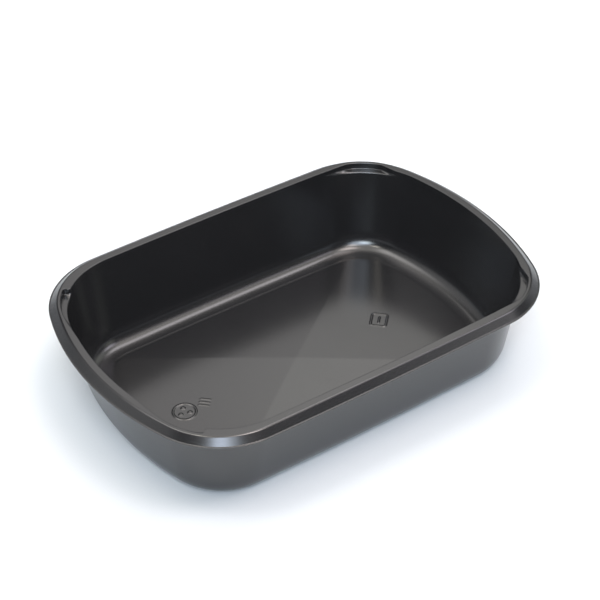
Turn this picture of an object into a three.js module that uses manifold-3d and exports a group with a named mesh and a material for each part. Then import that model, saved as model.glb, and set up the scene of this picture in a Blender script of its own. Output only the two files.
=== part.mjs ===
// A one-piece black plastic food tray, thermoformed from one sheet.
// It has a flat sealing land round its mouth, a skirt that slopes down and out from the land, bowed short
// ends, drafted walls, a rounded foot channel round a raised and cambered floor panel, and a pocket in each
// corner that keeps stacked trays apart.
// Millimetres, +Z up. The origin is the middle of the footprint, on the surface that the tray stands on.
// X runs along the tray and Y across it.

import * as THREE from 'three';
import { mergeVertices } from 'three/addons/utils/BufferGeometryUtils.js';
import Module from 'manifold-3d';

const wasm = await Module();
wasm.setup();

// ---------------------------------------------------------------- overall size
const LENGTH = 265;
const WIDTH = 180;
const HEIGHT = 55;
const SHEET = 0.7;

// ---------------------------------------------------------------- outlines, seen from above
// Each outline is four arcs to a quarter turn: a bowed end, a corner and a nearly straight side.
// The insets are how far the outline lies inside the outer edge of the rim, at the middle of a side or an end.
const RIM = { sideInset: 0, endInset: 0, sideRadius: 4000, endRadius: 170, cornerRadius: 48 };
const WALL_TOP = { sideInset: 9.2, endInset: 9.2, sideRadius: 3990, endRadius: 173, cornerRadius: 46.5 };
const WALL_FOOT = { sideInset: 17.2, endInset: 18, sideRadius: 3980, endRadius: 169, cornerRadius: 34.2 };

// How many straight steps stand for each arc.
const END_STEPS = 5;
const CORNER_STEPS = 23;
const SIDE_STEPS = 4;

// ---------------------------------------------------------------- rim, from the land outwards
const LAND_OUTER_INSET = 4.8;
const MOUTH_EDGE_RADIUS = 0.5;
const SHOULDER_RADIUS = 1.7;
const SHOULDER_STEPS = 3;
const SKIRT_ANGLE = THREE.MathUtils.degToRad(41);
const LIP_TOP = 51.5;

// ---------------------------------------------------------------- denesting pockets
// A pocket bites outwards into the land and ends below in a narrow ledge. Its bearing is the angle from the
// X axis, seen from the middle of the corner's arc. The pockets sit differently at the two ends, so that
// trays turned end for end stack apart and lift off one another. The ledge is two rings of points, which lie
// apart on the wall where there is no pocket.
const POCKET_INSET = 6.7;
const POCKET_DRAFT = 0.3;
const LEDGE_HEIGHT = 51.2;
const LEDGE_RINGS_APART = 1;
const POCKET_BEARINGS = {
  positiveEnd: { bluntFoot: 32.5, bluntTop: 39.5, taperTop: 62, taperFoot: 86 },
  negativeEnd: { bluntFoot: 51, bluntTop: 44, taperTop: 18, taperFoot: -6 },
};

// ---------------------------------------------------------------- foot and floor
// The cove is the wide bend between the wall and the floor. Its reaches are how far it runs along each.
const COVE_WALL_REACH = 10.9;
const COVE_FLOOR_REACH = 10;
const COVE_STEPS = 6;
const PANEL_RISE = 0.4;
const PANEL_SLOPE_RUN = 2.4;
const PANEL_INSET_FROM_WALL = 13.4;

// The panel is cambered: four flat facets rise to its middle and meet along creases that run to its corners.
// The half length and half width are where the planes of the facets come down to the height of its edge.
const CAMBER_RISE = 1.75;
const CAMBER_HALF_LENGTH = 87;
const CAMBER_HALF_WIDTH = 62.4;

// ---------------------------------------------------------------- raised marks on the floor panel
const MARK_RISE = 0.35;
const MARK_SINK = 0.3;
const MARK_LINE = 1.1;
const MARK_CURVE_STEPS = 10;
const RING_MARK = { x: -75.5, y: -1, outerRadius: 7, dotRadius: 1.2, dotOrbit: 3, dots: 3 };
const DASH_MARK = { x: -62.5, y: -1, rows: 3, pitch: 2.5, length: 6 };
const FRAME_MARK = { x: 60, y: 1, width: 10, height: 12, corner: 2, bar: 6, barCorner: 0.35 };
const MARK_TURN = THREE.MathUtils.degToRad(-45);

// Points closer together than this are one point.
const WELD_DISTANCE = 0.0001;

// ---------------------------------------------------------------- outlines

// The middle of the corner's arc, which touches the end's arc and the side's arc from inside.
function cornerCentre(halfLength, halfWidth, outline) {
  const sideCentre = new THREE.Vector2(0, halfWidth - outline.sideRadius);
  const endCentre = new THREE.Vector2(halfLength - outline.endRadius, 0);
  const sideReach = outline.sideRadius - outline.cornerRadius;
  const endReach = outline.endRadius - outline.cornerRadius;
  const apart = sideCentre.distanceTo(endCentre);
  const along = (sideReach ** 2 - endReach ** 2 + apart ** 2) / (2 * apart);
  const across = Math.sqrt(sideReach ** 2 - along ** 2);
  const direction = endCentre.clone().sub(sideCentre).normalize();
  return new THREE.Vector2(
    sideCentre.x + along * direction.x + across * direction.y,
    sideCentre.y + along * direction.y - across * direction.x,
  );
}

// The points of an arc with their outward normals, without the arc's last point.
function arcColumns(centre, radius, startAngle, endAngle, steps) {
  const columns = [];
  for (let step = 0; step < steps; step += 1) {
    const angle = THREE.MathUtils.lerp(startAngle, endAngle, step / steps);
    const normal = new THREE.Vector3(Math.cos(angle), Math.sin(angle), 0);
    const point = normal.clone().multiplyScalar(radius);
    point.x += centre.x;
    point.y += centre.y;
    columns.push({ point, normal });
  }
  return columns;
}

// One quarter of an outline, from the X axis round to the Y axis, both included.
function quarterColumns(outline) {
  const halfLength = LENGTH / 2 - outline.endInset;
  const halfWidth = WIDTH / 2 - outline.sideInset;
  const corner = cornerCentre(halfLength, halfWidth, outline);
  const endCentre = new THREE.Vector2(halfLength - outline.endRadius, 0);
  const sideCentre = new THREE.Vector2(0, halfWidth - outline.sideRadius);
  const endToCorner = corner.clone().sub(endCentre).angle();
  const cornerToSide = corner.clone().sub(sideCentre).angle();
  const quarterTurn = Math.PI / 2;
  return [
    ...arcColumns(endCentre, outline.endRadius, 0, endToCorner, END_STEPS),
    ...arcColumns(corner, outline.cornerRadius, endToCorner, cornerToSide, CORNER_STEPS),
    ...arcColumns(sideCentre, outline.sideRadius, cornerToSide, quarterTurn, SIDE_STEPS),
    { point: new THREE.Vector3(0, halfWidth, 0), normal: new THREE.Vector3(0, 1, 0) },
  ];
}

function mirrored(column, signX, signY) {
  const sign = new THREE.Vector3(signX, signY, 1);
  return { point: column.point.clone().multiply(sign), normal: column.normal.clone().multiply(sign) };
}

// A whole outline, anticlockwise from the +X axis.
function outlineColumns(outline) {
  const quarter = quarterColumns(outline);
  const turnedBack = [...quarter].reverse();
  return [
    ...quarter,
    ...turnedBack.slice(1).map((column) => mirrored(column, -1, 1)),
    ...quarter.slice(1).map((column) => mirrored(column, -1, -1)),
    ...turnedBack.slice(1, -1).map((column) => mirrored(column, 1, -1)),
  ];
}

const rimColumns = outlineColumns(RIM);
const wallTopColumns = outlineColumns(WALL_TOP);
const wallFootColumns = outlineColumns(WALL_FOOT);
const rimCorner = cornerCentre(LENGTH / 2, WIDTH / 2, RIM);

// ---------------------------------------------------------------- rings of points

// A ring at a constant inset from the rim's outer edge.
function rimRing(inset, z) {
  return rimColumns.map(({ point, normal }) => point.clone().addScaledVector(normal, -inset).setZ(z));
}

// A ring on the straight part of the wall. thickness 0 gives the inner face and SHEET the outer face.
function wallRing(z, thickness) {
  return wallTopColumns.map((top, index) => {
    const foot = wallFootColumns[index];
    const topPoint = top.point.clone().addScaledVector(top.normal, thickness);
    const footPoint = foot.point.clone().addScaledVector(foot.normal, thickness);
    return footPoint.lerp(topPoint, z / HEIGHT).setZ(z);
  });
}

// A ring on the cove, which starts gently at both its ends and is tightest in its middle. Share 0 is its end
// on the floor and share 1 its end on the wall. The outer face of the cove reaches further by the thickness.
function coveRing(floorZ, thickness, share) {
  const top = wallRing(HEIGHT, thickness);
  return wallRing(floorZ, thickness).map((foot, index) => {
    const upTheWall = top[index].clone().sub(foot).normalize();
    return foot.clone()
      .addScaledVector(wallFootColumns[index].normal, -(COVE_FLOOR_REACH + thickness) * (1 - share) ** 2)
      .addScaledVector(upTheWall, (COVE_WALL_REACH + thickness) * share ** 2);
  });
}

// A ring on the floor, at a constant distance inside the foot of the wall.
function floorRing(insetFromWall, z) {
  return wallFootColumns.map(({ point, normal }) => (
    point.clone().addScaledVector(normal, -insetFromWall).setZ(z)
  ));
}

// How far the cambered panel stands above the height of its edge.
function camberHeight({ x, y }) {
  return CAMBER_RISE * (1 - Math.max(Math.abs(x) / CAMBER_HALF_LENGTH, Math.abs(y) / CAMBER_HALF_WIDTH));
}

// The edge of the cambered panel.
function panelRing(z) {
  return floorRing(PANEL_INSET_FROM_WALL, z).map((point) => point.setZ(z + camberHeight(point)));
}

function mixRings(plainRing, pocketRing) {
  return plainRing.map((point, index) => point.clone().lerp(pocketRing[index], pocketShares[index]));
}

// 1 where the pocket is whole, 0 where there is none.
function pocketShare({ point }) {
  const bearings = point.x > 0 ? POCKET_BEARINGS.positiveEnd : POCKET_BEARINGS.negativeEnd;
  const fromCorner = new THREE.Vector2(Math.abs(point.x) - rimCorner.x, Math.abs(point.y) - rimCorner.y);
  const bearing = THREE.MathUtils.radToDeg(Math.atan2(fromCorner.y, fromCorner.x));
  const blunt = (bearing - bearings.bluntFoot) / (bearings.bluntTop - bearings.bluntFoot);
  const taper = (bearing - bearings.taperFoot) / (bearings.taperTop - bearings.taperFoot);
  return THREE.MathUtils.smoothstep(blunt, 0, 1) * THREE.MathUtils.smoothstep(taper, 0, 1);
}

const pocketShares = rimColumns.map(pocketShare);

// ---------------------------------------------------------------- the upper face, from the floor to the lip

function floorRings() {
  const rings = [
    panelRing(SHEET + PANEL_RISE),
    floorRing(PANEL_INSET_FROM_WALL - PANEL_SLOPE_RUN, SHEET),
  ];
  for (let step = 0; step <= COVE_STEPS; step += 1) {
    rings.push(coveRing(SHEET, 0, step / COVE_STEPS));
  }
  return rings;
}

function mouthRings() {
  const ledgeFoot = LEDGE_HEIGHT + LEDGE_RINGS_APART;
  const wallEdge = HEIGHT - MOUTH_EDGE_RADIUS;
  const roundingShare = 1 - Math.SQRT1_2;
  const roundingMiddle = HEIGHT - MOUTH_EDGE_RADIUS * roundingShare;
  const landPlain = wallRing(HEIGHT, 0);
  const landPocket = rimRing(POCKET_INSET, HEIGHT);
  const landEdge = mixRings(landPlain, landPocket);
  const outwards = (ring, distance) => ring.map((point, index) => (
    point.clone().addScaledVector(rimColumns[index].normal, distance)
  ));
  return [
    wallRing(LEDGE_HEIGHT, 0),
    mixRings(wallRing(ledgeFoot, 0), rimRing(POCKET_INSET + POCKET_DRAFT, LEDGE_HEIGHT)),
    mixRings(wallRing(wallEdge, 0), rimRing(POCKET_INSET, wallEdge)),
    outwards(landEdge, MOUTH_EDGE_RADIUS * roundingShare).map((point) => point.setZ(roundingMiddle)),
    outwards(landEdge, MOUTH_EDGE_RADIUS),
  ];
}

// The inset and height of each ring on the shoulder and the skirt, on the face that is sunk by depth.
function skirtProfile(depth) {
  const radius = SHOULDER_RADIUS - depth;
  const bendInset = LAND_OUTER_INSET + SHOULDER_RADIUS * Math.tan(SKIRT_ANGLE / 2);
  const profile = [];
  for (let step = 0; step <= SHOULDER_STEPS; step += 1) {
    const turned = SKIRT_ANGLE * (step / SHOULDER_STEPS);
    profile.push({
      inset: bendInset - radius * Math.sin(turned),
      z: HEIGHT - SHOULDER_RADIUS + radius * Math.cos(turned),
    });
  }
  const shoulderEnd = profile[SHOULDER_STEPS];
  const lipZ = LIP_TOP - depth;
  const slopeRun = (shoulderEnd.z - lipZ) / Math.tan(SKIRT_ANGLE);
  profile.push({ inset: shoulderEnd.inset - slopeRun, z: lipZ });
  return profile;
}

function skirtRings(depth) {
  return skirtProfile(depth).map(({ inset, z }) => rimRing(inset, z));
}

// ---------------------------------------------------------------- the lower face, from the lip to the floor

function underRimRings() {
  const underside = HEIGHT - SHEET;
  const ledgeUnderside = LEDGE_HEIGHT - SHEET;
  const pocketOuterInset = POCKET_INSET - SHEET;
  const plainTurn = ledgeUnderside + LEDGE_RINGS_APART;
  return [
    mixRings(wallRing(underside, SHEET), rimRing(pocketOuterInset, underside)),
    mixRings(wallRing(plainTurn, SHEET), rimRing(pocketOuterInset + POCKET_DRAFT, ledgeUnderside)),
    wallRing(ledgeUnderside, SHEET),
  ];
}

function underFloorRings() {
  const rings = [];
  for (let step = COVE_STEPS; step >= 0; step -= 1) {
    rings.push(coveRing(0, SHEET, step / COVE_STEPS));
  }
  rings.push(floorRing(PANEL_INSET_FROM_WALL - PANEL_SLOPE_RUN, 0));
  rings.push(panelRing(PANEL_RISE));
  return rings;
}

// ---------------------------------------------------------------- one closed skin

// Joins the rings into a closed skin with a middle point at each end, faces outwards.
function closedSkin(rings, firstMiddle, lastMiddle) {
  const count = rings[0].length;
  const positions = [firstMiddle, ...rings.flat(), lastMiddle].flatMap((point) => point.toArray());
  const lastMiddleIndex = 1 + rings.length * count;
  const vertexIndex = (ring, column) => 1 + ring * count + (column % count);
  const indices = [];
  for (let column = 0; column < count; column += 1) {
    indices.push(0, vertexIndex(0, column), vertexIndex(0, column + 1));
    for (let ring = 0; ring + 1 < rings.length; ring += 1) {
      const inner = vertexIndex(ring, column);
      const innerNext = vertexIndex(ring, column + 1);
      const outer = vertexIndex(ring + 1, column);
      const outerNext = vertexIndex(ring + 1, column + 1);
      indices.push(inner, outer, outerNext);
      indices.push(inner, outerNext, innerNext);
    }
    indices.push(vertexIndex(rings.length - 1, column), lastMiddleIndex);
    indices.push(vertexIndex(rings.length - 1, column + 1));
  }
  const geometry = new THREE.BufferGeometry();
  geometry.setAttribute('position', new THREE.Float32BufferAttribute(positions, 3));
  geometry.setIndex(indices);
  return geometry;
}

function trayShell() {
  const lipEdge = [rimRing(0, LIP_TOP), rimRing(0, LIP_TOP - SHEET)];
  const rings = [
    ...floorRings(),
    ...mouthRings(),
    ...skirtRings(0),
    ...lipEdge,
    ...skirtRings(SHEET).reverse(),
    ...underRimRings(),
    ...underFloorRings(),
  ];
  const floorMiddle = new THREE.Vector3(0, 0, SHEET + PANEL_RISE + CAMBER_RISE);
  const underMiddle = new THREE.Vector3(0, 0, PANEL_RISE + CAMBER_RISE);
  return closedSkin(rings, floorMiddle, underMiddle);
}

// ---------------------------------------------------------------- raised marks

function circleShape(radius, x = 0, y = 0) {
  return new THREE.Shape().absarc(x, y, radius, 0, 2 * Math.PI, false);
}

function roundedRectangle(width, height, corner) {
  const shape = new THREE.Shape();
  const right = width / 2;
  const top = height / 2;
  shape.moveTo(corner - right, -top);
  shape.absarc(right - corner, corner - top, corner, -Math.PI / 2, 0, false);
  shape.absarc(right - corner, top - corner, corner, 0, Math.PI / 2, false);
  shape.absarc(corner - right, top - corner, corner, Math.PI / 2, Math.PI, false);
  shape.absarc(corner - right, corner - top, corner, Math.PI, 1.5 * Math.PI, false);
  return shape;
}

function ringMarkShapes() {
  const ring = circleShape(RING_MARK.outerRadius);
  ring.holes.push(circleShape(RING_MARK.outerRadius - MARK_LINE));
  const dots = [];
  for (let dot = 0; dot < RING_MARK.dots; dot += 1) {
    const angle = (2 * Math.PI * dot) / RING_MARK.dots;
    const x = RING_MARK.dotOrbit * Math.cos(angle);
    const y = RING_MARK.dotOrbit * Math.sin(angle);
    dots.push(circleShape(RING_MARK.dotRadius, x, y));
  }
  return [ring, ...dots];
}

function dashMarkShapes() {
  const dashes = [];
  for (let row = 0; row < DASH_MARK.rows; row += 1) {
    const y = (row - (DASH_MARK.rows - 1) / 2) * DASH_MARK.pitch;
    const dash = new THREE.Shape();
    dash.moveTo(-DASH_MARK.length / 2, y - MARK_LINE / 2);
    dash.lineTo(DASH_MARK.length / 2, y - MARK_LINE / 2);
    dash.lineTo(DASH_MARK.length / 2, y + MARK_LINE / 2);
    dash.lineTo(-DASH_MARK.length / 2, y + MARK_LINE / 2);
    dashes.push(dash);
  }
  return dashes;
}

function frameMarkShapes() {
  const { width, height, corner, bar, barCorner } = FRAME_MARK;
  const frame = roundedRectangle(width, height, corner);
  const insideCorner = corner - MARK_LINE / 2;
  frame.holes.push(roundedRectangle(width - 2 * MARK_LINE, height - 2 * MARK_LINE, insideCorner));
  return [frame, roundedRectangle(MARK_LINE, bar, barCorner)];
}

// The marks lie on the end facets, and lean with them.
function markGeometries(shapes, place) {
  const settings = { depth: MARK_RISE + MARK_SINK, bevelEnabled: false, curveSegments: MARK_CURVE_STEPS };
  const facetLean = Math.sign(place.x) * Math.atan2(CAMBER_RISE, CAMBER_HALF_LENGTH);
  const facetHeight = SHEET + PANEL_RISE + camberHeight(place);
  return shapes.map((shape) => {
    const geometry = new THREE.ExtrudeGeometry(shape, settings);
    geometry.rotateZ(MARK_TURN);
    geometry.rotateY(facetLean);
    geometry.translate(place.x, place.y, facetHeight - MARK_SINK);
    return geometry;
  });
}

// ---------------------------------------------------------------- joining

function toSolid(geometry) {
  const bare = geometry.clone();
  bare.deleteAttribute('normal');
  bare.deleteAttribute('uv');
  const merged = mergeVertices(bare, WELD_DISTANCE);
  return new wasm.Manifold(new wasm.Mesh({
    numProp: 3,
    vertProperties: new Float32Array(merged.attributes.position.array),
    triVerts: new Uint32Array(merged.index.array),
  }));
}

function toGeometry(solid) {
  const mesh = solid.getMesh();
  const geometry = new THREE.BufferGeometry();
  geometry.setAttribute('position', new THREE.BufferAttribute(new Float32Array(mesh.vertProperties), 3));
  geometry.setIndex(new THREE.BufferAttribute(new Uint32Array(mesh.triVerts), 1));
  geometry.computeVertexNormals();
  return geometry;
}

function trayGeometry() {
  const marks = [
    ...markGeometries(ringMarkShapes(), RING_MARK),
    ...markGeometries(dashMarkShapes(), DASH_MARK),
    ...markGeometries(frameMarkShapes(), FRAME_MARK),
  ];
  let solid = toSolid(trayShell());
  for (const mark of marks) {
    solid = solid.add(toSolid(mark));
  }
  return toGeometry(solid);
}

// ---------------------------------------------------------------- scene graph

const blackPlastic = new THREE.MeshStandardMaterial({ color: 0x1c1c1d, roughness: 0.38, metalness: 0 });

const tray = new THREE.Mesh(trayGeometry(), blackPlastic);
tray.name = 'tray';

const foodTray = new THREE.Group();
foodTray.add(tray);

export default foodTray;
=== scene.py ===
# %% [markdown]
# # A black plastic food tray
# The real object is one sheet of black plastic. It is warmed until it is soft, sucked down over a cold mould
# and cut out with a die. Everything that can be seen on it follows from that: one even thickness, walls that
# lean outwards so that the tray leaves its mould, rounded edges where the sheet could not follow a sharp one,
# and a satin gloss with a faint texture from the sheet's rolling.
#
# This script dresses a packed model that is already the right size. It builds one fine smooth skin for the
# tray, gives it a material, and puts it on a pale floor in soft light. Lengths are in millimetres while a
# shape is being worked out, and become metres when they go into a Blender mesh.

# %% Load the packed model
import math

import bmesh
import bpy
import numpy as np
from mathutils import Matrix, Vector


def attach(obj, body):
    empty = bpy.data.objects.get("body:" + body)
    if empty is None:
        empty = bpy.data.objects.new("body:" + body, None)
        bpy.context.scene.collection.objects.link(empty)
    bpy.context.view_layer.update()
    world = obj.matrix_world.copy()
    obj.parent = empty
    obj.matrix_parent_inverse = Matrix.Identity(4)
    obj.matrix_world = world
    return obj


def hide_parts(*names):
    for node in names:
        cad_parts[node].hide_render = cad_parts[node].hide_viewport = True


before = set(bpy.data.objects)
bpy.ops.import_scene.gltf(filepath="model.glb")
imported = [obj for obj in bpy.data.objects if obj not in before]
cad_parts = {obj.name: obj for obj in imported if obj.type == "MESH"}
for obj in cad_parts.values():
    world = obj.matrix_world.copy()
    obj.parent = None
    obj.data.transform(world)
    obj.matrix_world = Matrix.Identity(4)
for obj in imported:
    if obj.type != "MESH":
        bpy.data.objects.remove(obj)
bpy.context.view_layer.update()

MILLIMETRE = 0.001

# %% [markdown]
# ## The camera
# A camera can be recovered from a photograph of something whose size is known: the outlines of the tray were
# matched to the picture, and that gives the direction, the distance and the lens. A long lens from about a
# metre away gives this calm, nearly parallel view. The camera comes first in the script, so that every later
# render can be laid beside the photograph.

# %% Camera
FRAME_PIXELS = 600
SENSOR_WIDTH = 36.0
FOCAL_PIXELS = 1749.8
CAMERA_AZIMUTH = math.radians(-35.69)
CAMERA_ELEVATION = math.radians(38.63)
CAMERA_ROLL = math.radians(0.51)
CAMERA_DISTANCE = 999.07
LOOK_AT = Vector((15.93, 18.86, 25.0))


def direction(azimuth, elevation):
    """The unit vector towards an azimuth and an elevation. Azimuth 0 is the side that faces -Y."""
    flat = math.cos(elevation)
    return Vector((math.sin(azimuth) * flat, -math.cos(azimuth) * flat, math.sin(elevation)))


def aim(eye, back, roll=0.0):
    """The matrix of something at eye that looks along -back, with its own Y axis upwards."""
    side = Vector((0, 0, 1)).cross(back).normalized()
    up = back.cross(side)
    turned_side = side * math.cos(roll) + up * math.sin(roll)
    turned_up = up * math.cos(roll) - side * math.sin(roll)
    turn = Matrix((turned_side, turned_up, back)).transposed().to_4x4()
    return Matrix.Translation(eye * MILLIMETRE) @ turn


scene = bpy.context.scene
camera_data = bpy.data.cameras.new("photo_camera")
camera_data.sensor_width = SENSOR_WIDTH
camera_data.lens = FOCAL_PIXELS / FRAME_PIXELS * SENSOR_WIDTH
camera = bpy.data.objects.new("photo_camera", camera_data)
camera_back = direction(CAMERA_AZIMUTH, CAMERA_ELEVATION)
camera.matrix_world = aim(LOOK_AT + camera_back * CAMERA_DISTANCE, camera_back, CAMERA_ROLL)
scene.collection.objects.link(camera)
scene.camera = camera
scene.view_settings.view_transform = "Standard"
print("lens", round(camera_data.lens, 1), "mm, camera at", [round(v, 3) for v in camera.location])

# %% [markdown]
# ## Outlines
# Seen from above, the rim, the top of the wall and its foot are three outlines of one kind: bowed short ends,
# round corners and long sides that are almost straight. A spline through hand-placed points could draw them,
# but then nobody could say what the corner's radius is. Here each quarter is three arcs that touch one
# another, and the other quarters are its mirror images. Every outline has the same number of columns, so the
# surface between two outlines is made by joining column to column.

# %% Outlines of four arcs to a quarter turn
HALF_LENGTH = 132.5
HALF_WIDTH = 90.0
HEIGHT = 55.0
SHEET = 0.7

# insets from the rim's edge at the ends and at the sides, then the radii of the side, the end and the corner
RIM = (0.0, 0.0, 4000.0, 170.0, 48.0)
WALL_TOP = (9.2, 9.2, 3990.0, 173.0, 46.5)
WALL_FOOT = (18.0, 17.2, 3980.0, 169.0, 34.2)

END_STEPS = 14
CORNER_STEPS = 66
SIDE_STEPS = 16


def corner_centre(half_length, half_width, side_radius, end_radius, corner_radius):
    """The middle of the corner's arc, which touches the end's arc and the side's arc from inside."""
    side_centre = np.array((0.0, half_width - side_radius))
    end_centre = np.array((half_length - end_radius, 0.0))
    side_reach = side_radius - corner_radius
    end_reach = end_radius - corner_radius
    apart = np.linalg.norm(end_centre - side_centre)
    along = (side_reach**2 - end_reach**2 + apart**2) / (2 * apart)
    across = math.sqrt(side_reach**2 - along**2)
    step = (end_centre - side_centre) / apart
    return side_centre + along * step + across * np.array((step[1], -step[0]))


def arc(centre, radius, start, end, steps):
    """Points and outward normals along an arc, without its last point."""
    angles = np.linspace(start, end, steps, endpoint=False)
    normals = np.stack((np.cos(angles), np.sin(angles)), axis=1)
    return np.asarray(centre) + radius * normals, normals


def outline(end_inset, side_inset, side_radius, end_radius, corner_radius):
    """The points of a whole outline and their outward normals, anticlockwise from the +X axis."""
    half_length = HALF_LENGTH - end_inset
    half_width = HALF_WIDTH - side_inset
    corner = corner_centre(half_length, half_width, side_radius, end_radius, corner_radius)
    end_centre = (half_length - end_radius, 0.0)
    side_centre = (0.0, half_width - side_radius)
    end_to_corner = math.atan2(corner[1], corner[0] - end_centre[0])
    corner_to_side = math.atan2(corner[1] - side_centre[1], corner[0])
    parts = (
        arc(end_centre, end_radius, 0.0, end_to_corner, END_STEPS),
        arc(corner, corner_radius, end_to_corner, corner_to_side, CORNER_STEPS),
        arc(side_centre, side_radius, corner_to_side, math.pi / 2, SIDE_STEPS),
        (np.array([[0.0, half_width]]), np.array([[0.0, 1.0]])),
    )
    quarter = np.hstack([np.vstack(column) for column in zip(*parts)])
    back = quarter[::-1]
    flip_x = np.array((-1, 1, -1, 1))
    flip_y = np.array((1, -1, 1, -1))
    whole = np.vstack((quarter, back[1:] * flip_x, quarter[1:] * flip_x * flip_y, back[1:-1] * flip_y))
    return whole[:, :2], whole[:, 2:]


rim_points, rim_normals = outline(*RIM)
top_points, top_normals = outline(*WALL_TOP)
foot_points, foot_normals = outline(*WALL_FOOT)
COLUMNS = len(rim_points)
print("columns round the tray", COLUMNS, "half size of the rim", rim_points.max(axis=0))

# %% [markdown]
# ## Rings
# A ring is one point for every column, all at one step of the tray's profile. Some rings are measured inwards
# from the rim, some lie on the leaning wall and some are measured inwards from the foot of the wall.

# %% Rings of points
def at_height(points, z):
    """Flat points lifted to a height, which may differ from column to column."""
    return np.column_stack((points, np.broadcast_to(np.asarray(z, float), len(points))))


def rim_ring(inset, z):
    return at_height(rim_points - rim_normals * inset, z)


def wall_ring(z, thickness):
    """A ring on the straight part of the wall: thickness 0 is its inner face and SHEET its outer face."""
    share = z / HEIGHT
    top = top_points + top_normals * thickness
    foot = foot_points + foot_normals * thickness
    return at_height(foot * (1 - share) + top * share, z)


def floor_ring(inset, z):
    return at_height(foot_points - foot_normals * inset, z)


print("wall foot, half size", wall_ring(0.0, 0.0)[:, :2].max(axis=0).round(2))

# %% [markdown]
# ## Rounded edges
# A formed sheet has no sharp edge anywhere, and a glossy surface shows each radius as a thin bright line, so
# the roundings matter more than anything else here. A bevel modifier would round all edges alike. This tray
# has a radius of its own at every bend, so the profile is a path of sharp rings, each with a radius, and one
# function replaces every sharp ring with an arc of rings that touches its neighbours. It adds one more ring
# just outside each end of the arc. Blender smooths the shading between rings, and the extra ones keep that
# smoothing off the flat parts, which would look dented without them.
#
# The wide bend between the wall and the floor is not an arc. The sheet bridges the mould there, so the bend
# starts gently and is tightest in its middle. A curve through three points, pulled towards the middle one,
# does that.

# %% Fillets between rings
GUARD = 0.12
COVE_STEPS = 18


def unit(vectors):
    return vectors / np.linalg.norm(vectors, axis=1, keepdims=True)


def fillet(before, bend, after, radius, steps):
    """The rings of an arc that replaces a sharp bend, with a guard ring at both ends."""
    back = unit(before - bend)
    ahead = unit(after - bend)
    cosine = np.clip((back * ahead).sum(axis=1, keepdims=True), -1.0, 1.0)
    half_angle = np.arccos(cosine) / 2
    reach = radius / np.tan(half_angle)
    centre = bend + unit(back + ahead) * radius / np.sin(half_angle)
    start = bend + back * reach
    end = bend + ahead * reach
    from_centre = (start - centre) / radius
    to_end = (end - centre) / radius
    turn = np.pi - 2 * half_angle
    rings = [start + back * GUARD]
    for step in range(steps + 1):
        share = step / steps
        a = np.sin((1 - share) * turn) / np.sin(turn)
        b = np.sin(share * turn) / np.sin(turn)
        rings.append(centre + radius * (a * from_centre + b * to_end))
    rings.append(end + ahead * GUARD)
    return rings


def eased_bend(bend, before, reach_before, after, reach_after):
    """The rings of a wide bend that starts gently and is tightest in its middle."""
    back = unit(before - bend) * reach_before
    ahead = unit(after - bend) * reach_after
    shares = np.linspace(0.0, 1.0, COVE_STEPS + 1)
    return [bend + back * (1 - share) ** 2 + ahead * share**2 for share in shares]


def follow(path):
    """The rings of a path. Each stop is a ring, the radius of its bend and the number of steps in the arc."""
    rings = []
    for index, (ring, radius, steps) in enumerate(path):
        if radius == 0:
            rings.append(ring)
        else:
            rings.extend(fillet(path[index - 1][0], ring, path[index + 1][0], radius, steps))
    return rings


# %% [markdown]
# ## The floor
# The floor of a thin tray is never left flat, because a flat sheet would drum and bow under a load. This one
# is raised a little above the ring it stands on, and cambered: four flat facets rise to the middle and meet
# in two creases that run from corner to corner. The rise is under two millimetres, but each facet mirrors
# another part of the room, so the creases show as clean changes of tone.

# %% The cambered floor panel
PANEL_RISE = 0.4
PANEL_INSET = 13.4
PANEL_SLOPE_RUN = 2.4
CAMBER_RISE = 1.75
CAMBER_HALF_LENGTH = 87.0
CAMBER_HALF_WIDTH = 62.4
CREASE_SOFTNESS = 0.008


def camber(x, y):
    """How far the cambered panel stands above the height of its edge."""
    along = np.abs(x) / CAMBER_HALF_LENGTH
    across = np.abs(y) / CAMBER_HALF_WIDTH
    steeper = (along + across + np.sqrt((along - across) ** 2 + CREASE_SOFTNESS**2)) / 2
    return CAMBER_RISE * (1 - steeper)


def panel_ring(share, z):
    """A ring on the panel: share 0 is its middle and share 1 its edge."""
    flat = (foot_points - foot_normals * PANEL_INSET) * share
    return at_height(flat, z + camber(flat[:, 0], flat[:, 1]))


PANEL_SHARES = (0.012, 0.025, 0.05, 0.09, 0.15, 0.22, 0.3, 0.38, 0.46, *np.arange(0.5, 0.98, 0.025))
print("the floor's middle stands", round(float(camber(0.0, 0.0)), 2), "mm above its edge")

# %% [markdown]
# ## Corner pockets
# Trays are stored in tall stacks, and two trays that fit each other perfectly would wedge. Each corner
# therefore has a small pocket that bites outwards into the flat rim and ends in a narrow ledge. The pockets
# are placed differently at the two ends, so a tray turned round rests on the ledges of the one below.
# Cutting the pockets out of a finished wall would leave sharp edges. Instead the profile is followed twice,
# once with a plain wall and once with a pocket, and every column mixes the two.

# %% Where the pockets are
POCKET_INSET = 6.7
POCKET_DRAFT = 0.3
LEDGE_HEIGHT = 51.2

# bearings about the middle of the corner's arc: no pocket, whole pocket, whole pocket, no pocket
POCKETS_AT_PLUS_X = (32.5, 39.5, 62.0, 86.0)
POCKETS_AT_MINUS_X = (51.0, 44.0, 18.0, -6.0)


def smooth_step(value, start, end):
    """0 at start, 1 at end and smooth between them."""
    share = np.clip((value - start) / (end - start), 0.0, 1.0)
    return share * share * (3 - 2 * share)


rim_corner = corner_centre(HALF_LENGTH, HALF_WIDTH, *RIM[2:])
from_corner = np.abs(rim_points) - rim_corner
bearing = np.degrees(np.arctan2(from_corner[:, 1], from_corner[:, 0]))


def pocket_share(blunt_foot, blunt_top, taper_top, taper_foot):
    return smooth_step(bearing, blunt_foot, blunt_top) * smooth_step(bearing, taper_foot, taper_top)


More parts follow.
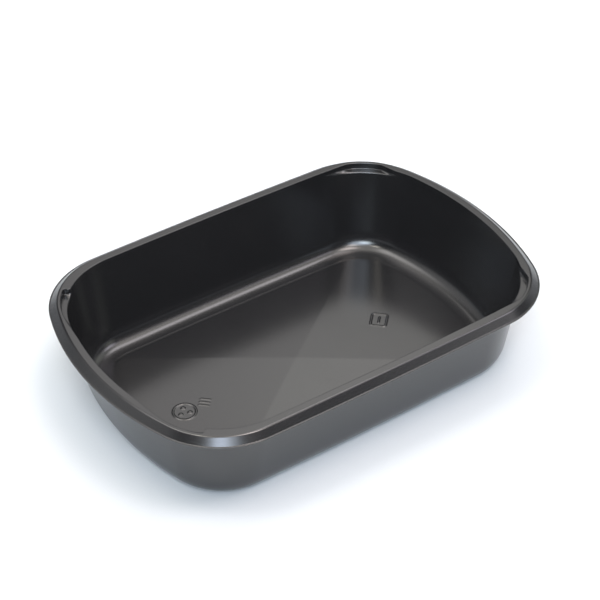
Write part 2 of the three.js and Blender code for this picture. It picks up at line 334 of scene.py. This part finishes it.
pocket = np.where(rim_points[:, 0] > 0, pocket_share(*POCKETS_AT_PLUS_X), pocket_share(*POCKETS_AT_MINUS_X))
print("columns with a whole pocket", int((pocket > 0.999).sum()), "of", COLUMNS)

# %% [markdown]
# ## The profile
# The upper face runs from the middle of the floor out to the lip: panel, step, foot channel, cove, wall,
# ledge, mouth, land, shoulder, skirt, lip. The lower face comes back under it at the thickness of the sheet.
# Offsetting the upper face with a solidify modifier would be shorter, but its thickness wanders at tight
# bends, and the lip's cut edge would stay square.

# %% Upper face
# how far the cove runs up the wall and in over the floor
COVE_WALL_REACH = 10.9
COVE_FLOOR_REACH = 10.0
STEP_RADII = (3.0, 1.5)
EDGE_STEPS = 4
WALL_HEIGHTS = (16.0, 28.0, 40.0)

# where a pocket's rings lie on the plain wall, and the radii at the two edges of its ledge
PLAIN_HEIGHTS = (LEDGE_HEIGHT - 0.5, HEIGHT - 1.4)
LEDGE_RADII = (0.8, 0.4)
MOUTH_RADIUS = 0.5
SHOULDER_INSET = 4.8
SHOULDER_RADIUS = 1.7
SHOULDER_STEPS = 8
SKIRT_ANGLE = math.radians(41)
LIP_TOP = 51.5
LIP_RADIUS = 0.22
LIP_INSET = SHOULDER_INSET - (HEIGHT - LIP_TOP) / math.tan(SKIRT_ANGLE)


def mixed(plain_rings, pocket_rings):
    """Rings of the plain wall and of the pocket, mixed column by column."""
    weight = pocket[:, None]
    pairs = zip(plain_rings, pocket_rings, strict=True)
    return [plain * (1 - weight) + deep * weight for plain, deep in pairs]


def upper_mouth():
    """The rings from the ledge to the land's inner edge."""
    wall = wall_ring(WALL_HEIGHTS[-1], 0.0)
    land = rim_ring(SHOULDER_INSET, HEIGHT)
    ledge_start = wall_ring(LEDGE_HEIGHT, 0.0)
    ledge_foot = rim_ring(POCKET_INSET + POCKET_DRAFT, LEDGE_HEIGHT)
    pocket_edge = rim_ring(POCKET_INSET, HEIGHT)
    ledge = fillet(wall, ledge_start, ledge_foot, LEDGE_RADII[0], EDGE_STEPS)
    ledge += fillet(ledge_start, ledge_foot, pocket_edge, LEDGE_RADII[1], EDGE_STEPS)
    plain_wall = [wall_ring(z, 0.0) for z in np.linspace(*PLAIN_HEIGHTS, len(ledge))]
    plain_edge = fillet(wall, wall_ring(HEIGHT, 0.0), land, MOUTH_RADIUS, EDGE_STEPS)
    deep_edge = fillet(ledge_foot, pocket_edge, land, MOUTH_RADIUS, EDGE_STEPS)
    return mixed(plain_wall + plain_edge, ledge + deep_edge)


def upper_rings():
    panel_top = SHEET + PANEL_RISE
    wall_foot = wall_ring(SHEET, 0.0)
    wall = [wall_ring(z, 0.0) for z in WALL_HEIGHTS]
    floor = [panel_ring(share, panel_top) for share in PANEL_SHARES]
    floor += follow(
        [
            (floor[-1], 0, 0),
            (panel_ring(1.0, panel_top), STEP_RADII[0], EDGE_STEPS),
            (floor_ring(PANEL_INSET - PANEL_SLOPE_RUN, SHEET), STEP_RADII[1], EDGE_STEPS),
            (wall_foot, 0, 0),
        ]
    )[1:-1]
    floor += eased_bend(wall_foot, floor_ring(PANEL_INSET, SHEET), COVE_FLOOR_REACH, wall[0], COVE_WALL_REACH)
    mouth = upper_mouth()
    rim = follow(
        [
            (mouth[-1], 0, 0),
            (rim_ring(SHOULDER_INSET, HEIGHT), SHOULDER_RADIUS, SHOULDER_STEPS),
            (rim_ring(LIP_INSET, LIP_TOP), 2 * LIP_RADIUS, EDGE_STEPS),
            (rim_ring(0.0, LIP_TOP), LIP_RADIUS, EDGE_STEPS),
            (rim_ring(0.0, LIP_TOP - SHEET), 0, 0),
        ]
    )[1:-1]
    return floor + wall + mouth + rim


upper = upper_rings()
print(len(upper), "rings on the upper face; the skirt ends", round(LIP_INSET, 2), "mm inside the cut edge")

# %% [markdown]
# The lower face has the same bends with other radii. Where the upper face turns outwards, the lower one is
# on the outside of the bend and its radius is larger by the thickness of the sheet, and the other way round.

# %% Lower face
UNDER_PLAIN_HEIGHTS = (HEIGHT - 2.4, LEDGE_HEIGHT - 1.8)
UNDER_LIP_RADIUS = 1.0
UNDER_SHOULDER_INSET = SHOULDER_INSET + SHEET * math.tan(SKIRT_ANGLE / 2)
UNDER_LIP_INSET = LIP_INSET + SHEET * math.tan(SKIRT_ANGLE / 2)
UNDER_POCKET_RADII = (0.28, 1.1, 0.35)
UNDER_LAND_RADIUS = MOUTH_RADIUS + SHEET


def lower_mouth():
    """The rings from the land's underside to the wall under the ledge."""
    land = rim_ring(UNDER_SHOULDER_INSET, HEIGHT - SHEET)
    wall = wall_ring(WALL_HEIGHTS[-1], SHEET)
    pocket_top = rim_ring(POCKET_INSET - SHEET, HEIGHT - SHEET)
    pocket_foot = rim_ring(POCKET_INSET + POCKET_DRAFT - SHEET, LEDGE_HEIGHT - SHEET)
    ledge_end = wall_ring(LEDGE_HEIGHT - SHEET, SHEET)
    deep = fillet(land, pocket_top, pocket_foot, UNDER_POCKET_RADII[0], EDGE_STEPS)
    ledge = fillet(pocket_top, pocket_foot, ledge_end, UNDER_POCKET_RADII[1], EDGE_STEPS)
    ledge += fillet(pocket_foot, ledge_end, wall, UNDER_POCKET_RADII[2], EDGE_STEPS)
    plain = fillet(land, wall_ring(HEIGHT - SHEET, SHEET), wall, UNDER_LAND_RADIUS, EDGE_STEPS)
    plain += [wall_ring(z, SHEET) for z in np.linspace(*UNDER_PLAIN_HEIGHTS, len(ledge))]
    return mixed(plain, deep + ledge)


def lower_rings():
    rim = follow(
        [
            (rim_ring(0.0, LIP_TOP), 0, 0),
            (rim_ring(0.0, LIP_TOP - SHEET), LIP_RADIUS, EDGE_STEPS),
            (rim_ring(UNDER_LIP_INSET, LIP_TOP - SHEET), UNDER_LIP_RADIUS, EDGE_STEPS),
            (rim_ring(UNDER_SHOULDER_INSET, HEIGHT - SHEET), SHOULDER_RADIUS - SHEET, SHOULDER_STEPS),
            (rim_ring(POCKET_INSET - SHEET, HEIGHT - SHEET), 0, 0),
        ]
    )[1:-1]
    mouth = lower_mouth()
    wall_foot = wall_ring(0.0, SHEET)
    wall = [wall_ring(z, SHEET) for z in WALL_HEIGHTS[::-1]]
    floor_edge = floor_ring(PANEL_INSET, 0.0)
    cove = eased_bend(wall_foot, wall[-1], COVE_WALL_REACH + SHEET, floor_edge, COVE_FLOOR_REACH + SHEET)
    floor = follow(
        [
            (wall_foot, 0, 0),
            (floor_ring(PANEL_INSET - PANEL_SLOPE_RUN, 0.0), STEP_RADII[1], EDGE_STEPS),
            (panel_ring(1.0, PANEL_RISE), STEP_RADII[0], EDGE_STEPS),
            (panel_ring(PANEL_SHARES[-1], PANEL_RISE), 0, 0),
        ]
    )[1:]
    floor += [panel_ring(share, PANEL_RISE) for share in PANEL_SHARES[-2::-1]]
    return rim + mouth + wall + cove + floor


lower = lower_rings()
print(len(lower), "rings on the lower face")

# %% [markdown]
# ## One closed skin
# All the rings are stacked in order and neighbouring rings are joined by four-sided faces. A point in the
# middle closes each end. The result is one watertight solid, which a renderer, a printer and a weight
# calculation can all use.

# %% Join the rings
def closed_skin(rings, first_middle, last_middle):
    """The vertices and faces of a closed skin over a stack of rings."""
    vertices = np.vstack([[first_middle], *rings, [last_middle]])
    ring_count = len(rings)
    column = np.arange(COLUMNS)
    following = (column + 1) % COLUMNS
    faces = [(0, 1 + c, 1 + n) for c, n in zip(column, following)]
    for ring in range(ring_count - 1):
        inner = 1 + ring * COLUMNS
        outer = inner + COLUMNS
        faces += [(inner + c, outer + c, outer + n, inner + n) for c, n in zip(column, following)]
    last_ring = 1 + (ring_count - 1) * COLUMNS
    faces += [(last_ring + c, len(vertices) - 1, last_ring + n) for c, n in zip(column, following)]
    return vertices, faces


top_middle = (0.0, 0.0, SHEET + PANEL_RISE + float(camber(0.0, 0.0)))
under_middle = (0.0, 0.0, PANEL_RISE + float(camber(0.0, 0.0)))
skin_vertices, skin_faces = closed_skin(upper + lower, top_middle, under_middle)
print(len(skin_vertices), "vertices and", len(skin_faces), "faces")

# %% [markdown]
# ## Raised marks
# Small marks are engraved in the mould, and the hot sheet is sucked into them, so they stand up from the
# floor with soft edges. They could be separate pieces laid on the floor, or joined with a Boolean modifier,
# and both would leave a hard line round them. Here the floor is cut finely under each mark and its points
# are lifted by how near they are to a stroke, as the sheet itself is. The marks are plain shapes: a ring
# with three dots, three dashes, and a frame with a bar.

# %% Strokes as distances
MARK_RISE = 0.35
MARK_HALF_WIDTH = 0.5
MARK_BLEND = 0.3
MARK_TURN = math.radians(-45)
RING_MARK = (-75.5, -1.0)
DASH_MARK = (-62.5, -1.0)
FRAME_MARK = (60.0, 1.0)
RING_RADIUS = 6.4
DOT_ORBIT = 3.0
DOT_CORE = 0.7
DASH_HALF_LENGTH = 2.5
DASH_PITCH = 2.5
FRAME_CORE = (3.0, 4.0)
FRAME_ROUNDING = 1.5
BAR_HALF_LENGTH = 2.5


def local(x, y, place):
    """Coordinates along and across a mark."""
    dx, dy = x - place[0], y - place[1]
    cos_turn, sin_turn = math.cos(MARK_TURN), math.sin(MARK_TURN)
    return dx * cos_turn + dy * sin_turn, dy * cos_turn - dx * sin_turn


def to_segment(x, y, half_length, middle_y=0.0):
    """The distance to a stroke along x."""
    return np.hypot(np.maximum(np.abs(x) - half_length, 0.0), y - middle_y)


def to_ring(x, y):
    distance = np.abs(np.hypot(x, y) - RING_RADIUS)
    for turn in (0.0, 120.0, 240.0):
        dot_x = DOT_ORBIT * math.cos(math.radians(turn))
        dot_y = DOT_ORBIT * math.sin(math.radians(turn))
        distance = np.minimum(distance, np.maximum(np.hypot(x - dot_x, y - dot_y) - DOT_CORE, 0.0))
    return distance


def to_dashes(x, y):
    rows = [to_segment(x, y, DASH_HALF_LENGTH, row * DASH_PITCH) for row in (-1, 0, 1)]
    return np.minimum.reduce(rows)


def to_frame(x, y):
    past_x = np.abs(x) - FRAME_CORE[0]
    past_y = np.abs(y) - FRAME_CORE[1]
    outside = np.hypot(np.maximum(past_x, 0.0), np.maximum(past_y, 0.0))
    inside = np.minimum(np.maximum(past_x, past_y), 0.0)
    border = np.abs(outside + inside - FRAME_ROUNDING)
    return np.minimum(border, to_segment(y, x, BAR_HALF_LENGTH))


# where each mark is, the distance to its strokes, and how far it spreads
MARKS = ((RING_MARK, to_ring, 9.0), (DASH_MARK, to_dashes, 5.5), (FRAME_MARK, to_frame, 8.5))


def mark_height(x, y):
    """How far the marks lift the floor at a point."""
    height = np.zeros_like(x)
    for place, distance, _ in MARKS:
        off = distance(*local(x, y, place))
        stroke = 1 - smooth_step(off, MARK_HALF_WIDTH - MARK_BLEND, MARK_HALF_WIDTH + MARK_BLEND)
        height = np.maximum(height, MARK_RISE * stroke)
    return height


print("marks at", [place for place, _, _ in MARKS])

# %% [markdown]
# ## The tray as a Blender object
# The points and faces become a mesh, and the tool that edits meshes in memory, bmesh, turns all faces
# outwards, cuts the floor under the marks and lifts the points. Only then are millimetres turned into metres.
# Smooth shading hides the small faces, because the guard rings already hold every flat part.

# %% Build the tray's mesh and lift the marks
MARK_CUTS = 7
ON_THE_FLOOR = 0.05
LIFTED = 0.01


def on_floor(point):
    """Whether a point, in millimetres, lies on the upper face of the floor panel."""
    level = SHEET + PANEL_RISE + float(camber(point[0], point[1]))
    return abs(point[2] - level) < ON_THE_FLOOR


def near_a_mark(face):
    middle = face.calc_center_median()
    close = any(math.dist(middle[:2], place) < reach for place, _, reach in MARKS)
    return close and on_floor(middle)


def lift_marks(mesh_data):
    floor_faces = [face for face in mesh_data.faces if near_a_mark(face)]
    edges = list({edge for face in floor_faces for edge in face.edges})
    bmesh.ops.subdivide_edges(mesh_data, edges=edges, cuts=MARK_CUTS, use_grid_fill=True)
    points = [vertex for vertex in mesh_data.verts if on_floor(vertex.co)]
    heights = mark_height(np.array([v.co.x for v in points]), np.array([v.co.y for v in points]))
    for vertex, height in zip(points, heights):
        vertex.co.z += float(height)
    return len(floor_faces), int((heights > LIFTED).sum())


def build_tray():
    mesh = bpy.data.meshes.new("tray_moulding")
    mesh.from_pydata(skin_vertices, [], skin_faces)
    mesh_data = bmesh.new()
    mesh_data.from_mesh(mesh)
    bmesh.ops.recalc_face_normals(mesh_data, faces=mesh_data.faces)
    print("faces cut and points lifted for the marks", lift_marks(mesh_data))
    print("volume", round(mesh_data.calc_volume() / 1000, 1), "cubic centimetres")
    bmesh.ops.scale(mesh_data, vec=(MILLIMETRE,) * 3, verts=mesh_data.verts)
    for face in mesh_data.faces:
        face.smooth = True
    mesh_data.to_mesh(mesh)
    mesh_data.free()
    piece = bpy.data.objects.new("tray_moulding", mesh)
    scene.collection.objects.link(piece)
    return piece


tray = build_tray()
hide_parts("tray")
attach(tray, "root")
print("tray_moulding has", len(tray.data.polygons), "faces")

# %% [markdown]
# ## Shader maths as expressions
# A material is a small calculation, and a calculation is easier to read as a formula than as a web of node
# calls. The class below wraps one socket of a node. Adding or multiplying two wrapped sockets puts the Math
# node there, and one method adds any other node.

# %% A socket that can be used in a formula
# the places of a Mix node's sockets when it mixes colours
MIX_FIRST = 6
MIX_SECOND = 7
MIX_RESULT = 2


class Wire:
    """An output socket that works in expressions."""

    def __init__(self, tree, socket=None):
        self.tree = tree
        self.socket = socket

    def node(self, kind, settings=None, inputs=None, output=0):
        """Adds a node: its settings first, then values or wires for its inputs, by name or by place."""
        new = self.tree.nodes.new(kind)
        for name, value in (settings or {}).items():
            setattr(new, name, value)
        for key, value in (inputs or {}).items():
            if isinstance(value, Wire):
                self.tree.links.new(value.socket, new.inputs[key])
            else:
                new.inputs[key].default_value = value
        return Wire(self.tree, new.outputs[output])

    def maths(self, operation, first, second):
        return self.node("ShaderNodeMath", {"operation": operation}, {0: first, 1: second})

    def __add__(self, other):
        return self.maths("ADD", self, other)

    __radd__ = __add__

    def __sub__(self, other):
        return self.maths("SUBTRACT", self, other)

    def __rsub__(self, other):
        return self.maths("SUBTRACT", other, self)

    def __mul__(self, other):
        return self.maths("MULTIPLY", self, other)

    __rmul__ = __mul__

    def between(self, low, high):
        """0 below low, 1 above high and smooth between them."""
        settings = {"interpolation_type": "SMOOTHSTEP"}
        return self.node("ShaderNodeMapRange", settings, {"Value": self, "From Min": low, "From Max": high})

    def blend(self, first, second):
        """A colour that goes from first to second as this wire goes from 0 to 1."""
        inputs = {"Factor": self, MIX_FIRST: first, MIX_SECOND: second}
        return self.node("ShaderNodeMix", {"data_type": "RGBA"}, inputs, MIX_RESULT)

    def added_light(self, light, colour):
        """The light with a colour added to it, as much of it as this wire says."""
        settings = {"data_type": "RGBA", "blend_type": "ADD"}
        inputs = {"Factor": self, MIX_FIRST: light, MIX_SECOND: colour}
        return self.node("ShaderNodeMix", settings, inputs, MIX_RESULT)

    def along(self, direction_vector):
        """How far a vector reaches along a direction."""
        inputs = {0: self, 1: direction_vector}
        return self.node("ShaderNodeVectorMath", {"operation": "DOT_PRODUCT"}, inputs, output="Value")

    def noise(self, per_metre, detail=2.0, roughness=0.5):
        """Cloudy noise from 0 to 1 at points given by this wire, with so many lumps to a metre."""
        inputs = {"Vector": self, "Scale": per_metre, "Detail": detail, "Roughness": roughness}
        return self.node("ShaderNodeTexNoise", None, inputs, output="Fac")

    def stretched(self, scale, turn=0.0):
        """Coordinates turned about Z and scaled, for a pattern with a direction."""
        inputs = {"Vector": self, "Rotation": (0.0, 0.0, turn), "Scale": scale}
        return self.node("ShaderNodeMapping", {"vector_type": "TEXTURE"}, inputs)


BLACK = (0.0, 0.0, 0.0, 1.0)


def new_material(name):
    material = bpy.data.materials.new(name)
    material.use_nodes = True
    shader = material.node_tree.nodes["Principled BSDF"]
    return material, shader, Wire(material.node_tree).node("ShaderNodeTexCoord", output="Object")


def feed(shader, **sockets):
    """Sets sockets of a shader. An underscore in a name stands for a space."""
    for name, value in sockets.items():
        socket = shader.inputs[name.replace("_", " ")]
        if isinstance(value, Wire):
            value.tree.links.new(value.socket, socket)
        else:
            socket.default_value = value


print("the formula class has", sorted(name for name in vars(Wire) if not name.startswith("__")))

# %% [markdown]
# ## Black satin plastic
# Black plastic is hardly seen by its own colour. It shows as a dark mirror, and what tells the eye that it is
# plastic is how that mirror is blurred. Three things blur it here: the satin surface itself, a faint grain
# that the rolled sheet keeps, and a slow waviness because the sheet stretched unevenly over the mould. Light
# scuffs from stacking are scratches that run roughly along the tray, too fine to see one by one.

# %% The tray's material
PLASTIC_DARK = (0.0135, 0.0135, 0.0145, 1.0)
PLASTIC_PALE = (0.0180, 0.0180, 0.0190, 1.0)
PLASTIC_IOR = 1.75
SATIN = 0.165

# lumps to a metre
TONE_LUMPS = 24.0
GRAIN_LUMPS = 2600.0
WAVE_LUMPS = 42.0
SCUFF_PATCHES = 38.0

# metres that one lump of noise is stretched to, so that it becomes a scratch
SCRATCH = (0.02, 0.0006, 0.006)
SCRATCH_TURNS = (0.35, -0.9)

# how much rougher the surface is made, and how much of the relief is made, by each pattern
TONE_ROUGHENS, GRAIN_ROUGHENS, SCUFF_ROUGHENS = 0.05, 0.03, 0.06
GRAIN_RELIEF, WAVE_RELIEF, SCUFF_DEPTH = 0.10, 4.0, 0.05
RELIEF_STRENGTH = 0.3
RELIEF_METRES = 0.00002


def scuffs(position, turn):
    """Faint scratches in one direction: 0 nearly everywhere and up to 1 on a scratch."""
    patches = position.noise(SCUFF_PATCHES, 1.0).between(0.42, 0.62)
    return position.stretched(SCRATCH, turn).noise(1.0, 3.0, 0.6).between(0.62, 0.72) * patches


def black_plastic():
    material, shader, position = new_material("tray_plastic_satin")
    tone = position.noise(TONE_LUMPS, 3.0, 0.55)
    grain = position.noise(GRAIN_LUMPS, 2.0, 0.6)
    waves = position.noise(WAVE_LUMPS, 1.0, 0.4)
    scratched = scuffs(position, SCRATCH_TURNS[0]) + scuffs(position, SCRATCH_TURNS[1])
    roughness = SATIN + TONE_ROUGHENS * tone + GRAIN_ROUGHENS * grain + SCUFF_ROUGHENS * scratched
    relief = grain * GRAIN_RELIEF + waves * WAVE_RELIEF - scratched * SCUFF_DEPTH
    depth = {"Strength": RELIEF_STRENGTH, "Distance": RELIEF_METRES, "Height": relief}
    feed(
        shader,
        Base_Color=(tone * 0.8 + scratched * 0.25).blend(PLASTIC_DARK, PLASTIC_PALE),
        Roughness=roughness,
        IOR=PLASTIC_IOR,
        Normal=position.node("ShaderNodeBump", None, depth, "Normal"),
    )
    return material


tray.data.materials.append(black_plastic())
print("material", tray.data.materials[0].name)

# %% [markdown]
# ## Floor
# The tray stands on white paper. A plain plane is enough for it, because only its brightness and the soft
# shadow on it are seen. It lies a hair below the foot, so that the two never share one level.

# %% A pale floor
FLOOR_HALF = 3.0
FLOOR_DROP = 0.00004
PAPER_DARK = (0.80, 0.83, 0.85, 1.0)
PAPER_PALE = (0.82, 0.85, 0.87, 1.0)
PAPER_LUMPS = 900.0
PAPER_ROUGHNESS = 0.9
PAPER_SHINE = 0.1


def pale_floor():
    mesh = bpy.data.meshes.new("studio_floor")
    corners = [(x * FLOOR_HALF, y * FLOOR_HALF, -FLOOR_DROP) for x, y in ((-1, -1), (1, -1), (1, 1), (-1, 1))]
    mesh.from_pydata(corners, [], [(0, 1, 2, 3)])
    floor = bpy.data.objects.new("studio_floor", mesh)
    scene.collection.objects.link(floor)
    material, shader, position = new_material("studio_white")
    paper = position.noise(PAPER_LUMPS, 2.0)
    feed(shader, Base_Color=paper.blend(PAPER_DARK, PAPER_PALE))
    feed(shader, Roughness=PAPER_ROUGHNESS + 0.05 * paper, Specular_IOR_Level=PAPER_SHINE)
    mesh.materials.append(material)
    return floor


floor = pale_floor()
print("floor", 2 * FLOOR_HALF, "metres square")

# %% [markdown]
# ## Light
# Black plastic is drawn by what it mirrors, so its light is a room and not a lamp. Area lights could make
# that room, but each would also cast a shadow of its own on the paper. A world colour that changes with
# direction does the same with less noise: pale walls near the horizon, a pale ceiling, and round soft boxes,
# each with a bright middle and a faded edge. The two in front draw the highlight on the near corner. The ones
# overhead light the land and the floor of the tray, and the ones behind are what the raised panel mirrors.

# %% The room, by direction
HORIZON_LIGHT = (0.55, 0.57, 0.60, 1.0)
HORIZON_TOP = (12.0, 26.0)
CEILING_LIGHT = (1.54, 1.49, 1.40, 1.0)
CEILING_EDGE = (50.0, 64.0)

# azimuth, elevation, radius of the bright middle and of the faded edge in degrees, then the light's colour
SOFT_BOXES = {
    "front_wide": (-30, 45, 4, 20, (4.2, 4.8, 5.6)),
    "front_near": (-45, 38, 2, 13, (6.0, 6.8, 7.2)),
    "back_wide": (150, 46, 4, 20, (1.25, 1.22, 1.21)),
    "back_near": (135, 46, 2, 12, (0.98, 0.99, 0.92)),
    "left_wide": (-135, 46, 10, 32, (0.67, 0.67, 0.67)),
    "right_wide": (90, 38, 4, 20, (0.89, 0.93, 0.86)),
    "right_near": (60, 46, 2, 12, (3.8, 3.6, 4.0)),
    "right_low": (45, 30, 2, 12, (0.83, 0.87, 0.76)),
    "top_front": (30, 74, 2, 12, (7.5, 6.5, 6.3)),
    "top_right": (105, 64, 2, 12, (3.3, 3.1, 3.3)),
    "top_left": (-130, 64, 3, 18, (2.0, 1.9, 1.9)),
}


def sine(degrees):
    return math.sin(math.radians(degrees))


def cosine(degrees):
    return math.cos(math.radians(degrees))


def studio_room():
    world = bpy.data.worlds.new("studio_room")
    world.use_nodes = True
    tree = world.node_tree
    toward = Wire(tree).node("ShaderNodeTexCoord", output="Generated")
    height = toward.along((0.0, 0.0, 1.0))
    light = height.between(sine(HORIZON_TOP[0]), sine(HORIZON_TOP[1])).blend(HORIZON_LIGHT, BLACK)
    light = height.between(sine(CEILING_EDGE[0]), sine(CEILING_EDGE[1])).added_light(light, CEILING_LIGHT)
    for azimuth, elevation, middle, edge, colour in SOFT_BOXES.values():
        centre = direction(math.radians(azimuth), math.radians(elevation))
        glow = toward.along(centre).between(cosine(edge), cosine(middle))
        light = glow.added_light(light, (*colour, 1.0))
    tree.links.new(light.socket, tree.nodes["Background"].inputs["Color"])
    scene.world = world


studio_room()
print("world", scene.world.name, "with", len(SOFT_BOXES), "soft boxes")

# %% [markdown]
# Three small lamps stand close to the tray, so they are area lights with a place. Two of them are seen twice
# over: the rounded back corner mirrors them down on the floor panel, which mirrors them again, and they show
# there as two soft upright streaks. A lamp's power is worked out from how bright it has to look.

# %% Small lamps
LAMP_TARGET = Vector((99.0, 67.0, 25.0))


def small_lamp(name, place, size, radiance, tint):
    """A square area light at a place in millimetres, turned to the tray's back corner."""
    lamp = bpy.data.lights.new(name, "AREA")
    lamp.shape = "SQUARE"
    lamp.size = size * MILLIMETRE
    lamp.energy = radiance * math.pi * lamp.size**2
    lamp.color = tint
    holder = bpy.data.objects.new(name, lamp)
    holder.matrix_world = aim(Vector(place), (Vector(place) - LAMP_TARGET).normalized())
    scene.collection.objects.link(holder)
    print(name, "power", round(lamp.energy, 2), "watts")


# where each lamp stands, its size, how bright it looks, and its tint
small_lamp("front_lamp", (-315.0, -390.0, 585.0), 150.0, 3.5, (0.82, 0.95, 1.23))
small_lamp("right_lamp", (35.0, -272.0, 515.0), 120.0, 7.0, (1.08, 0.98, 0.94))
small_lamp("left_lamp", (-222.0, -50.0, 515.0), 80.0, 10.0, (1.08, 1.02, 0.9))

# %% [markdown]
